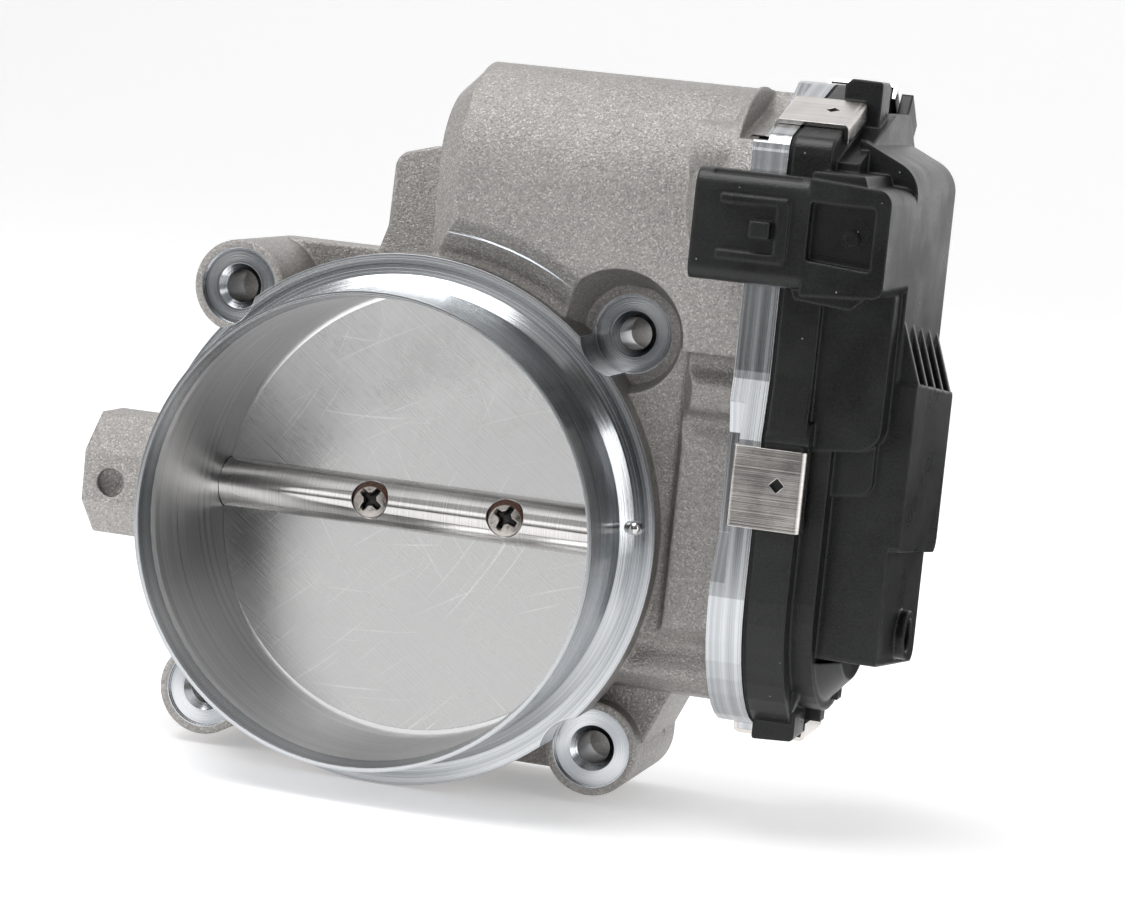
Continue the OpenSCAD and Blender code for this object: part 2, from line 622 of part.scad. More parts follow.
module motor_wave_spring() color(dark_steel_colour) at_shaft() at_motor() difference() {
  union() {
    x_tube([motor_start - 1.9, motor_start - 1.5], motor_r - 5, motor_r - 0.6);
    // The crests of the wave bear on the can, and its valleys on the casting.
    for (k = [0:2]) rotate([120 * k, 0, 0])
      box([motor_start - 1.9, motor_start - 0.1], [motor_r - 4.5, motor_r - 1.5], [-2, 2]);
    for (k = [0:2]) rotate([120 * k + 60, 0, 0])
      box([motor_start - 3.8, motor_start - 1.5], [motor_r - 4.5, motor_r - 1.5], [-2, 2]);
  }
}

// ---- Gear train ----
module motor_pinion() color(brass_colour) at_shaft() at_motor() difference() {
  along_x(pinion_x) gear_face(pinion_teeth, idler_to_motor + 180 + 180 / pinion_teeth);
  x_rod([pinion_x[0] - 1, pinion_x[1] + 1], rotor_shaft_r + 0.02);
}
module idler_gear() color(gear_colour) at_shaft() at_idler() difference() {
  union() {
    along_x(large_x) gear_face(idler_large_teeth, idler_to_motor);
    along_x([large_x[1] - tiny, small_end])
      gear_face(idler_small_teeth, sector_to_idler + 180 + 180 / idler_small_teeth);
    x_rod([floor_x + 0.6, large_x[0] + tiny], 6);
  }
  x_rod([floor_x - 1, small_end + 1], idler_pin_r + running_gap);
  // Lightening recess in the large gear.
  x_tube([large_x[0] - 1, large_x[0] + 1.4], idler_pin_r + 6, pitch_r(idler_large_teeth) - 4);
  x_tube([large_x[1] - 1.4, large_x[1] + 1], pitch_r(idler_small_teeth) + 3, pitch_r(idler_large_teeth) - 4);
}
module idler_pin() color(bright_steel_colour) at_shaft() at_idler()
  x_rod([floor_x - 10, rim_end + 2.4], idler_pin_r);
module sector_gear() color(sector_colour) at_shaft() difference() {
  union() {
    along_x(sector_x) intersection() {
      sector_face(sector_teeth, sector_to_idler, first_tooth, last_tooth);
      circle(r = tip_r(sector_teeth) + 1);
    }
    along_x([sector_x[0], sector_x[1] - 1.5]) translate([-4, -stop_arm_r]) square([8, stop_arm_r]);
    x_rod(hub_x, hub_r);
    x_rod([sector_x[0], sector_x[1] - 1.5], hub_r + 6);
    // The stop arm that meets the closed stop screw.
    box([large_x[0] + 0.2, sector_x[0] + tiny], [-stop_arm_half, stop_arm_half], [-stop_arm_r, -13]);
    // The peg that the return spring pushes on.
    translate([0, 0, -12]) x_rod([floor_x - 1.7, sector_x[0] + tiny], 1.5);
  }
  x_rod([hub_x[0] - 1, hub_x[1] - 3.2], shaft_r + 0.02);
  x_rod([hub_x[1] - 3.3, hub_x[1] + 1], hub_r - 1.8);
}
module sensor_magnet() color(magnet_colour) at_shaft()
  x_rod([hub_x[1] - 3.2, hub_x[1] - 0.2], hub_r - 1.9);

// ---- Return spring ----
coil_r = chamber_r - 3;
wire_r = 0.8;
coil_x = [right_bearing_x[1] + 1.9, floor_x - 2.6];
coil_turns = 4;
coil_steps = 20;
coil_sides = 6;
function coil_ring(i) =
  let (turn = i / coil_steps, a = 360 * turn, x = coil_x[0] + (coil_x[1] - coil_x[0]) * turn / coil_turns)
  [for (k = [0:coil_sides - 1])
    let (b = 360 * k / coil_sides, r = coil_r + wire_r * cos(b))
    [x + wire_r * sin(b), r * sin(a), -r * cos(a)]];
module return_spring() color(dark_steel_colour) at_shaft() {
  rings = coil_turns * coil_steps;
  points = [for (i = [0:rings]) each coil_ring(i)];
  sides = [for (i = [0:rings - 1], k = [0:coil_sides - 1])
    let (a = i * coil_sides + k, b = i * coil_sides + (k + 1) % coil_sides)
    each [[a, b, b + coil_sides], [a, b + coil_sides, a + coil_sides]]];
  caps = [[for (k = [coil_sides - 1:-1:0]) k], [for (k = [0:coil_sides - 1]) rings * coil_sides + k]];
  polyhedron(points, concat(sides, caps));
}
module spring_sleeve() color(plastic_colour) at_shaft() {
  x_tube([right_bearing_x[1] + 0.3, floor_x - 2], shaft_r + 0.6, shaft_r + 2.2);
  x_tube([right_bearing_x[1] + 0.3, right_bearing_x[1] + 0.9], shaft_r + 0.6, chamber_r - 0.4);
}

// ---- Stop screw ----
stop_screw_r = 2;
stop_z = -17.5;
stop_tip = 5.45;
module stop_screw_line() translate([joint_x - stop_screw_r - 0.3, stop_tip, stop_z]) children();
module closed_stop_screw() color(steel_colour) at_shaft() stop_screw_line() difference() {
  y_rod([0, case_r + 2 - stop_tip], stop_screw_r);
  y_rod([case_r - 0.5 - stop_tip, case_r + 3 - stop_tip], 1.1, $fn = 6);
}

// ---- Cover, gasket and clips ----
clip_leg = 3;
clip_gap = 0.12;
bottom_y = 5;
bottom_spot = [bottom_y, case_bottom - 1.1, -90];
clip_spots = [
  edge_spot(case_outline, 11, 0.15),
  edge_spot(case_outline, 6, 0.56),
  bottom_spot,
  edge_spot(case_outline, 3, 0.22),
  edge_spot(case_outline, 3, 0.72),
  edge_spot(case_outline, 4, 0.5)
];
clip_top = clip_spots[0][1] + clip_w / 2 + 1.1;
hook_x = flange_x + 3;
module clip_profile() polygon(concat(
  [[hook_x - clip_gap, clip_gap], [hook_x - clip_gap, -clip_leg], [hook_x - clip_gap - clip_t, -clip_leg]],
  corner_arc([hook_x - clip_gap - clip_t, -clip_leg], [hook_x - clip_gap - clip_t, clip_gap + clip_t],
    [rim_end, clip_gap + clip_t], 1.2),
  corner_arc([hook_x, clip_gap + clip_t], [rim_end + clip_gap + clip_t, clip_gap + clip_t],
    [rim_end + clip_gap + clip_t, -clip_leg], 1.2),
  [[rim_end + clip_gap + clip_t, -clip_leg], [rim_end + clip_gap, -clip_leg], [rim_end + clip_gap, clip_gap]]
));
module cover_clip() difference() {
  linear_extrude(clip_w, center = true) clip_profile();
  translate([rim_end - 4.5, 0, -1]) rotate([-90, 0, 0]) rotate(45) translate([-1.1, -1.1, 0]) cube([2.2, 2.2, 4]);
}
module cover_clips() color(bright_steel_colour) at_shaft() for (spot = clip_spots)
  translate([0, spot[0], spot[1]]) rotate([spot[2], 0, 0]) cover_clip();
module cover_gasket() color(rubber_colour) at_shaft() along_x([joint_x, rim_x]) difference() {
  polygon(rounded(inset(case_outline, 0.5)));
  polygon(rounded(inset(case_outline, case_wall - 0.1)));
}

module cover_solid() {
  along_x([rim_x, rim_end]) case_face(0);
  along_x([rim_end - tiny, step_end]) polygon(rounded(inset(case_outline, ledge_inset)));
  // Main block over the sensor board: the body, the lower face and the pad.
  intersection() {
    along_y([block_front, block_rear]) polygon(rounded([
      [step_end - 2, -40, 0], [brow_x, -40, 0], [brow_x, block_z[1] - 2, 7], [step_end - 2, block_z[1] + 4, 0]
    ]));
    block_shape(block_z[0], 100, step_end - 2, brow_x + 1);
  }
  block_shape(block_z[0], pad_z[0] + 1, brow_x - 1, face_x);
  block_shape(pad_z[0], pad_z[1], brow_x - 1, pad_x);
  // Front bulge over the idler gear, with a lower step.
  along_y([bulge_front, block_front + tiny]) polygon(rounded([
    [rim_end - 1, bulge_z, 0], [brow_x - 1, bulge_z + 1.5, 5], [brow_x - 1, socket_z[0] + 2, 3], [rim_end - 1, socket_z[0] + 2, 0]
  ]));
  along_y([block_front - 2.2, block_front + tiny]) polygon(rounded([
    [rim_end - 1, -9, 0], [step_end - 1.5, -9.5, 1], [step_end - 0.5, bulge_z - 9, 0], [brow_x - 2.5, bulge_z - 8, 3],
    [brow_x - 2.5, bulge_z + 6, 3], [rim_end - 1, bulge_z + 6, 0]
  ]));
  // Collar over the front clip.
  translate([0, -case_r, 0]) along_x([rim_x, rim_end + 1]) polygon(rounded([
    [6, clip_top, 0], [-0.5, clip_top, 0.5], [-0.5, clip_top + 1.5, 0.5], [2, clip_top + 4.6, 0.5], [6, clip_top + 5, 0]
  ]));
  // Foot in front of the bottom clip, and the swelling and lugs over the shaft end.
  along_y([-14, bottom_y - clip_w / 2 - 1.2]) polygon(rounded([
    [rim_x, case_bottom + 6, 0], [rim_x, case_bottom - 0.9, 0.6], [rim_end + 0.8, case_bottom - 0.4, 1],
    [rim_end + 0.8, case_bottom + 5, 0.8], [rim_end - 1, case_bottom + 8, 0]
  ]));
  intersection() {
    translate([0, 0, -case_drop]) x_cone([step_end - 1, step_end + 4.3], case_r - ledge_inset - 1, case_r - ledge_inset - 7);
    box([step_end - 2, face_x], [-40, 40], [-40, block_z[0] + 1]);
  }
  box([step_end - 4.5, step_end - 1.2], [-1, 3], [case_bottom + 2.2, case_bottom + 9]);
  box([step_end - 3.5, step_end + 1], [4, 8], [case_bottom + 6.4, case_bottom + 12]);
  along_y([-16, -12.5]) polygon([
    [rim_end - 1, block_z[0] + 1], [step_end - 2, block_z[0] + 0.5], [step_end - 2, block_z[0] - 2],
    [rim_end + 0.3, block_z[0] - 10.5], [rim_end - 1, block_z[0] - 10.5]
  ]);
  // Brow that carries the connector.
  along_y([socket_front, block_front + tiny]) polygon(rounded([
    [rim_end - 1, socket_z[0] - 1, 0], [brow_x, socket_z[0], 2], [brow_x, socket_z[1] - 1, 3], [rim_end - 1, socket_z[1], 0]
  ]));
  along_x([socket_x, rim_end]) polygon(rounded([
    [socket_front, socket_z[0], 3], [socket_rear, socket_z[0], 3], [socket_rear, socket_z[1], 3], [socket_front, socket_z[1], 4]
  ]));
  // Fins that run down to the pad.
  for (k = [0:4]) {
    fin_y = block_front + 1.6 + (block_rear - block_front - 5) * k / 4;
    fin_low = pad_z[1] + block_slope * fin_y;
    along_y([fin_y - 0.8, fin_y + 0.8]) polygon([
      [brow_x - 1, fin_low - 0.5], [pad_x - 0.05, fin_low - 0.5], [pad_x - 0.05, fin_low], [brow_x, fin_low + 12],
      [brow_x - 1, fin_low + 12]
    ]);
  }
  // Locating boss on the outer face.
  translate([0, 3, -13]) x_rod([face_x - 1, face_x + 2], 5.2);
  // Hook that keeps the front roof clip, and the post of the rear one.
  along_y([-5.5, 3]) polygon(rounded([
    [rim_end - 4.6, roof_z - 3.4, 0], [rim_end - 4.6, roof_z + 0.2, 0.5], [rim_end - 3.2, roof_z + 1.5, 0.6],
    [rim_end + 3.2, roof_z + 1.3, 0.8], [rim_end + 3.2, roof_z - 12, 0], [rim_end - 2, roof_z - 12, 0]
  ]));
  translate([0, clip_spots[5][0], clip_spots[5][1]]) rotate([clip_spots[5][2], 0, 0])
    box([rim_end + clip_t + 0.5, rim_end + clip_t + 3], [-ledge_inset - 3, 1.2], [-5, 5]);
  // Lip under the socket's block and slab on top of it.
  along_y([socket_front + 2.5, socket_front + 11]) polygon(rounded([
    [rim_end - 3.5, socket_z[0] + 1, 0], [rim_end - 2.5, socket_z[0] - 2, 0.8], [brow_x - 6.5, socket_z[0] - 3, 0.8],
    [brow_x - 2, socket_z[0] + 1, 0]
  ]));
  along_y([socket_front + 1.2, block_front]) polygon(rounded([
    [rim_end - 1, socket_z[1] - 3, 0], [rim_end - 1, socket_z[1] + 1.4, 0.5], [brow_x - 6, socket_z[1] + 1.4, 0.8],
    [brow_x - 4.5, socket_z[1] - 3, 0]
  ]));
  latch_rails();
}
// A layer of the main block, whose level edges drop a little towards the rear.
module block_shape(z0, z1, x0, x1) along_x([x0, x1]) polygon(rounded([
  [block_front, z0 + block_slope * block_front, 0.8], [block_rear, z0 + block_slope * block_rear, 3],
  [block_rear, z1 + block_slope * block_rear, 1.5], [block_front, z1 + block_slope * block_front, 0.8]
]));
module latch_rails() {
  rail_z = [socket_z[0] + 5.5, socket_z[1] - 5.5];
  front = [socket_front - 1.1, socket_front + tiny];
  for (z = rail_z) box([socket_x + 5.5, socket_x + 19], front, [z - 0.8, z + 0.8]);
  box([socket_x + 17, socket_x + 19.5], front, rail_z);
  box([socket_x + 12, socket_x + 16], [front[0] - 0.8, front[1]], [motor_z - 1.6, motor_z + 1.6]);
}
module cover_cavities() {
  along_x([rim_x - 1, rim_end - cover_wall]) polygon(rounded(inset(case_outline, case_wall)));
  along_x([rim_end - cover_wall - tiny, step_end - cover_wall])
    polygon(rounded(inset(case_outline, ledge_inset + cover_wall)));
  along_y([block_front + cover_wall, block_rear - cover_wall]) polygon([
    [step_end - cover_wall - 1, block_z[0] + 3], [brow_x - cover_wall, block_z[0] + 3],
    [brow_x - cover_wall, block_z[1] - 6], [step_end - cover_wall - 1, block_z[1] - 6]
  ]);
  // Room for the blades behind the socket.
  box([rim_end + 1, brow_x - cover_wall], [socket_front + 4.6, block_front + cover_wall + 1],
    [socket_z[0] + cover_wall, socket_z[1] - cover_wall - 1]);
  // The socket's mouth.
  along_x([socket_x - 1, rim_end - 5]) polygon(rounded([
    [socket_front + 1.7, socket_z[0] + 2, 2], [socket_rear - 1.7, socket_z[0] + 2, 2],
    [socket_rear - 1.7, socket_z[1] - 2, 2], [socket_front + 1.7, socket_z[1] - 2, 2]
  ]));
  // Window recess and the groove beside it.
  difference() {
    along_y([socket_front - 1, socket_front + 3.2]) polygon(rounded([
      [rim_end - 0.5, socket_z[0] + 6, 0.8], [brow_x - 3, socket_z[0] + 5, 0.8],
      [brow_x - 3, socket_z[1] - 4.5, 0.8], [rim_end - 0.5, socket_z[1] - 4.5, 0.8]
    ]));
    // Sprue mark on the window's floor.
    translate([(rim_end + brow_x) / 2, 0, (socket_z[0] + socket_z[1]) / 2]) y_rod([socket_front + 2.9, socket_front + 4], 1.65);
  }
  box([socket_x + 3, rim_end - 3], [socket_front + 1.5, socket_front + 3.2], [socket_z[1] - 0.9, socket_z[1] + 1]);
  blade_slots();
  translate([0, 3, -13]) x_rod([face_x - 1.5, face_x + 3], 3.4);
  at_idler() x_rod([rim_end - 1, rim_end + 3], idler_pin_r + 0.1);
}
module gear_cover() color(plastic_colour) at_shaft() {
  difference() {
    cover_solid();
    cover_cavities();
  }
  // Bridge that carries the outer end of the idler pin.
  difference() {
    union() {
      at_idler() x_rod([small_end + 0.6, step_end - 0.2], idler_pin_r + 3);
      box([rim_end + 0.6, step_end - 0.2], [block_front + 1, block_rear - 1], [idler_at[1] - 5, idler_at[1] + 5]);
    }
    at_idler() x_rod([small_end, rim_end + 2.6], idler_pin_r + 0.1);
  }
  board_posts();
}

// ---- Sensor board and connector blades ----
board_x = [step_end + 1, step_end + 2.6];
board_y = [block_front + cover_wall + 0.5, block_rear - cover_wall - 0.5];
board_z = [block_z[0] + 4, socket_z[1] - 5];
blade_half = 0.4;
blade_y = [socket_front + 5.4, socket_front + 8.6];
blade_z = [motor_z - 6, motor_z, motor_z + 6];
module board_posts() for (z = [board_z[0] + 8, board_z[1] - 30]) for (y = [board_y[0] + 4, board_y[1] - 4])
  translate([0, y, z]) x_rod([board_x[1], face_x - cover_wall + tiny], 2);
module sensor_board() color(board_colour) at_shaft() {
  box(board_x, board_y, board_z);
  box([board_x[0] - 1.2, board_x[0] + tiny], [-4, 4], [-4, 4]);
}
module blade_slots() for (y = blade_y, z = blade_z)
  box([rim_end - 6, rim_end + 2], [y - blade_half - 0.02, y + blade_half + 0.02], [z - 1.12, z + 1.12]);
module connector_pins() color(brass_colour) at_shaft() for (i = [0, 1], z = blade_z) {
  y = blade_y[i];
  end_x = board_x[0] - 0.02 - 1.6 * (1 - i);
  box([socket_x + 6, end_x], [y - blade_half, y + blade_half], [z - 1.1, z + 1.1]);
  box([end_x - 0.8, end_x], [y, board_y[0] + 2 + 2 * (1 - i)], [z - 0.6 - 1.8 * i, z + 0.6 - 1.8 * i]);
}

housing();
throttle_plate();
throttle_shaft();
plate_screws();
locating_pin();
left_bearing();
right_bearing();
left_shaft_seal();
right_shaft_seal();
motor_can();
motor_magnets();
motor_armature();
motor_commutator();
motor_shaft();
motor_brushes();
motor_end_plate();
motor_front_bush();
motor_rear_bush();
motor_terminals();
motor_screws();
motor_wave_spring();
motor_pinion();
idler_gear();
idler_pin();
sector_gear();
return_spring();
spring_sleeve();
sensor_magnet();
sensor_board();
connector_pins();
gear_cover();
cover_gasket();
cover_clips();
closed_stop_screw();
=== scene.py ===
import json
import math

import bmesh
import bpy
import numpy as np
from mathutils import Matrix, Vector


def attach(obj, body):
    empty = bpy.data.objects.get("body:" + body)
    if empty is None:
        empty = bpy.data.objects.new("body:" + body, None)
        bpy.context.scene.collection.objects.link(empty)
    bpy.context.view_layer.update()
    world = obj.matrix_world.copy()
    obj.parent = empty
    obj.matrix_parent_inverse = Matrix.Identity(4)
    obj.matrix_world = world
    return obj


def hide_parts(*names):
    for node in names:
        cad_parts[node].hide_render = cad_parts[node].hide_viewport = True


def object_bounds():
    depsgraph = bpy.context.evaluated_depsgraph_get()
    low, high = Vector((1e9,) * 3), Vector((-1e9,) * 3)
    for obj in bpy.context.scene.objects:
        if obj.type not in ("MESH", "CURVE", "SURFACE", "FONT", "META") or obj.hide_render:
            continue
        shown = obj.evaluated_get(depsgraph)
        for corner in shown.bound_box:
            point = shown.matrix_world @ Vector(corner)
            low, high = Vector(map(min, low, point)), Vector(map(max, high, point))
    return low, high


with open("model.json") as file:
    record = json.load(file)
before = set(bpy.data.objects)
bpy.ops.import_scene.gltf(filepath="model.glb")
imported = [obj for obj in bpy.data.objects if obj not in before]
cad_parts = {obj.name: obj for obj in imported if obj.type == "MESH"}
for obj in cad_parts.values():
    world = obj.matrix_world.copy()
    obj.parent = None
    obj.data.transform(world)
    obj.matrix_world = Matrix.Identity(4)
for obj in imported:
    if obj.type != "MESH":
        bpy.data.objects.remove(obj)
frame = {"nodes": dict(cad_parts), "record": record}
cad_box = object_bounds()
NODES = frame["nodes"]

# --- Camera -------------------------------------------------------------------
# A long lens a little to the right of the bore and slightly above it, rolled a
# few degrees, as one would stand a camera in front of the part on a table.
scene = bpy.context.scene
camera_data = bpy.data.cameras.new("studio_camera")
camera_data.sensor_width = 36.0
camera_data.lens = 114.6
camera_data.clip_end = 20.0
camera = bpy.data.objects.new("studio_camera", camera_data)
scene.collection.objects.link(camera)
camera_right = Vector((0.9549, 0.2802, 0.0985))
camera_up = Vector((-0.1267, 0.0842, 0.9884))
camera_back = Vector((0.2687, -0.9562, 0.1159))
camera_place = Vector((0.2331, -0.7498, 0.1051))
camera.matrix_world = Matrix((
    (camera_right.x, camera_up.x, camera_back.x, camera_place.x),
    (camera_right.y, camera_up.y, camera_back.y, camera_place.y),
    (camera_right.z, camera_up.z, camera_back.z, camera_place.z),
    (0.0, 0.0, 0.0, 1.0)))
scene.camera = camera
scene.view_settings.view_transform = "Standard"

# --- Floor and studio light ---------------------------------------------------
# A white paper sweep in a bright room, with softboxes above, in front and at both
# sides. Dark cards that only reflections see give the turned faces their contrast.
lowest_z = cad_box[0][2]


class Recipe:
    """A material being mixed: each call adds one node and hands back its output."""

    def __init__(self, name, colour=(0.5, 0.5, 0.5), metallic=0.0, roughness=0.5):
        self.material = bpy.data.materials.new(name)
        self.material.use_nodes = True
        self.tree = self.material.node_tree
        self.shader = self.tree.nodes["Principled BSDF"]
        self.give("Base Color", (*colour, 1.0))
        self.give("Metallic", metallic)
        self.give("Roughness", roughness)
        self.place = self.add("ShaderNodeTexCoord").outputs["Object"]

    def fill(self, socket, value):
        """Link value into socket if it is an output, or else store it there."""
        if isinstance(value, bpy.types.NodeSocket):
            self.tree.links.new(value, socket)
        else:
            socket.default_value = value

    def give(self, name, value):
        """Set one socket of the Principled shader."""
        self.fill(self.shader.inputs[name], value)

    def add(self, kind, inputs=None, **settings):
        """A node of this kind, with its settings and inputs filled in."""
        node = self.tree.nodes.new(kind)
        for key, value in settings.items():
            setattr(node, key, value)
        for key, value in (inputs or {}).items():
            self.fill(node.inputs[key], value)
        return node

    def math(self, operation, *values):
        """One step of arithmetic on outputs or plain numbers."""
        return self.add("ShaderNodeMath", dict(enumerate(values)), operation=operation).outputs[0]

    def plus(self, first, second):
        return self.math("ADD", first, second)

    def minus(self, first, second):
        return self.math("SUBTRACT", first, second)

    def times(self, first, second):
        return self.math("MULTIPLY", first, second)

    def below(self, value, limit):
        """1 where value is less than limit, or else 0."""
        return self.math("LESS_THAN", value, limit)

    def size_of(self, value):
        """The value without its sign."""
        return self.math("ABSOLUTE", value)

    def axes(self):
        """The three object coordinates, one output each."""
        return self.parts(self.place)

    def parts(self, vector):
        """A vector's three parts, one output each."""
        return self.add("ShaderNodeSeparateXYZ", {0: vector}).outputs[:]

    def from_axis(self, u, v, u0=0.0, v0=0.0):
        """The distance of (u, v) from the line through (u0, v0)."""
        du = self.minus(u, u0)
        dv = self.minus(v, v0)
        return self.math("SQRT", self.plus(self.times(du, du), self.times(dv, dv)))

    def noise(self, scale, detail=2.0, rough=0.5, vector=None):
        """Cloudy noise in three dimensions, near 0.5 on average."""
        inputs = {"Vector": vector or self.place, "Scale": scale, "Detail": detail,
                  "Roughness": rough}
        return self.add("ShaderNodeTexNoise", inputs).outputs["Fac"]

    def lines(self, along, scale, detail=2.0):
        """Parallel lines: a noise that depends on one value only."""
        return self.add("ShaderNodeTexNoise", {"W": along, "Scale": scale, "Detail": detail},
                        noise_dimensions="1D").outputs["Fac"]

    def cells(self, scale):
        """Small cells, each with a colour and a distance from its own centre."""
        return self.add("ShaderNodeTexVoronoi", {"Vector": self.place, "Scale": scale}).outputs

    def ease(self, value, start, end, first=0.0, last=1.0):
        """A smooth step from first at start to last at end."""
        return self.add("ShaderNodeMapRange", {"Value": value, "From Min": start, "From Max": end,
                                               "To Min": first, "To Max": last},
                        interpolation_type="SMOOTHSTEP").outputs["Result"]

    def blend(self, factor, first, second):
        """A colour between first and second."""
        node = self.add("ShaderNodeMix", {0: factor, 6: first, 7: second}, data_type="RGBA")
        return node.outputs[2]

    def bump(self, height, strength, distance, normal=None):
        """The surface's direction after a bump, on top of normal if that is given."""
        inputs = {"Height": height, "Strength": strength, "Distance": distance}
        if normal:
            inputs["Normal"] = normal
        return self.add("ShaderNodeBump", inputs).outputs["Normal"]

    def rounded(self, radius):
        """The surface's direction with its edges rounded off by radius."""
        return self.add("ShaderNodeBevel", {"Radius": radius}, samples=6).outputs["Normal"]

    def edges(self, normal):
        """1 near an edge that the rounded normal turns away from, 0 on open surface."""
        flat = self.add("ShaderNodeNewGeometry").outputs["Normal"]
        agree = self.add("ShaderNodeVectorMath", {0: flat, 1: normal}, operation="DOT_PRODUCT")
        return self.ease(agree.outputs["Value"], 0.995, 0.86)


def grey(level, warmth=0.0):
    """A grey of this level, redder and less blue by warmth."""
    return (level * (1 + warmth), level, level * (1 - warmth), 1.0)


def sweep_sheet(floor_z, width, front, back, rise, bend):
    """A studio sweep: a flat floor that turns up along a quarter circle into a wall.
    The path's height is zero, then bend * (1 - cos a), then a straight rise."""
    turn = np.linspace(0, math.pi / 2, 24)
    path_y = np.concatenate([[front], back + bend * np.sin(turn), [back + bend]])
    path_z = np.concatenate([[0.0], bend * (1 - np.cos(turn)), [rise]]) + floor_z
    across = np.array([-width, width])
    grid = np.stack(np.broadcast_arrays(across[:, None], path_y[None], path_z[None]), -1)
    count = len(path_y)
    start = np.arange(count - 1)
    faces = np.stack([start, start + count, start + count + 1, start + 1], 1)
    mesh = bpy.data.meshes.new("table_sweep")
    mesh.from_pydata(grid.reshape(-1, 3).tolist(), [], faces.tolist())
    mesh.shade_smooth()
    return bpy.data.objects.new("table_sweep", mesh)


sweep = sweep_sheet(lowest_z - 0.0002, width=4.0, front=-3.0, back=1.6, rise=3.0, bend=0.8)
scene.collection.objects.link(sweep)
paper = Recipe("white_paper", (0.9, 0.9, 0.905), roughness=0.7)
paper.give("Emission Color", (1.0, 0.995, 1.0, 1.0))
paper.give("Emission Strength", 0.3)
sweep.data.materials.append(paper.material)

world = bpy.data.worlds.new("studio_surround")
world.use_nodes = True
room = world.node_tree.nodes["Background"]
room.inputs["Color"].default_value = (1.0, 1.0, 1.0, 1.0)
room.inputs["Strength"].default_value = 0.5
scene.world = world


def facing(place, aim):
    """The turn that points an object's -Z from place to aim."""
    return (Vector(aim) - Vector(place)).to_track_quat("-Z", "Y")


def softbox(name, place, aim, size, power):
    """A rectangular area lamp at place that faces aim, which the camera doesn't see."""
    lamp = bpy.data.lights.new(name, "AREA")
    lamp.shape = "RECTANGLE"
    lamp.size, lamp.size_y = size
    lamp.energy = power
    holder = bpy.data.objects.new(name, lamp)
    scene.collection.objects.link(holder)
    holder.location = place
    holder.rotation_euler = facing(place, aim).to_euler()
    holder.visible_camera = False


def dark_card(name, place, aim, size, paint):
    """A flat painted card at place that faces aim and shows only in reflections."""
    half_x, half_y = size[0] / 2, size[1] / 2
    across, up = np.meshgrid([-half_x, half_x], [-half_y, half_y], indexing="ij")
    corners = np.stack([across, up, np.zeros((2, 2))], -1).reshape(-1, 3)
    turn = np.array(facing(place, aim).to_matrix())
    mesh = bpy.data.meshes.new(name)
    mesh.from_pydata((corners @ turn.T + np.array(place)).tolist(), [], [[0, 1, 3, 2]])
    mesh.materials.append(paint)
    card = bpy.data.objects.new(name, mesh)
    scene.collection.objects.link(card)
    card.visible_camera = False
    card.visible_diffuse = False
    card.visible_shadow = False


middle = (0.0, -0.02, 0.03)
for name, place, size, power in (
        ("top_softbox", (-0.25, -0.25, 1.1), (0.9, 0.7), 10.0),
        ("plate_softbox", (-0.65, -1.9, 0.42), (0.8, 0.5), 1.3),
        ("left_softbox", (-1.2, -0.7, 0.4), (0.4, 0.9), 5.0),
        ("right_softbox", (1.2, -0.35, 0.35), (0.3, 0.9), 3.0)):
    softbox(name, place, middle, size, power)

# The last two cards lie just over the floor and face straight up.
black = Recipe("black_card", (0.012, 0.012, 0.014), roughness=0.9).material
card_z = lowest_z + 0.0005
for name, place, aim, size in (
        ("front_card", (1.1, -2.1, 0.6), middle, (2.0, 1.7)),
        ("upper_card", (0.1, -1.2, 1.9), middle, (2.4, 0.8)),
        ("table_card", (-0.55, -1.35, card_z), (-0.55, -1.35, 1.0), (1.9, 1.9)),
        ("rear_card", (0.5, 0.85, card_z), (0.5, 0.85, 1.0), (0.9, 1.5))):
    dark_card(name, place, aim, size, black)

# --- Housing ------------------------------------------------------------------
# One aluminium die casting, shot-blasted to a sandy grey. The bore, the inlet
# ring, the bolt seats, the flange for the cover and the rear face are cut bright.
RING_FACE_Y = -0.043      # the ring's front face
RING_R = 0.0566           # just past the ring's rim
FACING_R = 0.0625         # just past the flat cut round the ring, level with its face
BORE_WALL_R = 0.0477      # just past the bore's wall
BOLT_HALF = 0.044         # half the side of the bolt square
SEAT_R = 0.0084           # just past the bolt seats' rims
SEAT_BACK_Y = -0.02       # behind the seats, so the rear face isn't marked by them
FLANGE_X = 0.0699         # just short of the flange that the cover sits on
FACE_SKIM = 0.00012       # how near the ring's face a point counts as on it
SKIM = 0.0002             # how far other masks reach past their face
cast = Recipe("cast_aluminium", metallic=1.0)
cast_x, cast_y, cast_z = cast.axes()
bore_distance = cast.from_axis(cast_x, cast_z)
seat_distance = cast.from_axis(cast.size_of(cast_x), cast.size_of(cast_z), BOLT_HALF, BOLT_HALF)
from_face = cast.size_of(cast.minus(cast_y, RING_FACE_Y))
on_seat = cast.times(cast.below(seat_distance, SEAT_R), cast.below(cast_y, SEAT_BACK_Y))
on_flange = cast.math("GREATER_THAN", cast_x, FLANGE_X)
in_bore = cast.below(bore_distance, BORE_WALL_R)
cut = cast.times(cast.below(cast_y, RING_FACE_Y + SKIM), cast.below(bore_distance, RING_R))
for part in (
        cast.times(cast.below(from_face, FACE_SKIM), cast.below(bore_distance, FACING_R)),
        in_bore,
        on_seat,
        on_flange,
        cast.below(cast.size_of(cast_y), SKIM)):
    cut = cast.math("MAXIMUM", cut, part)

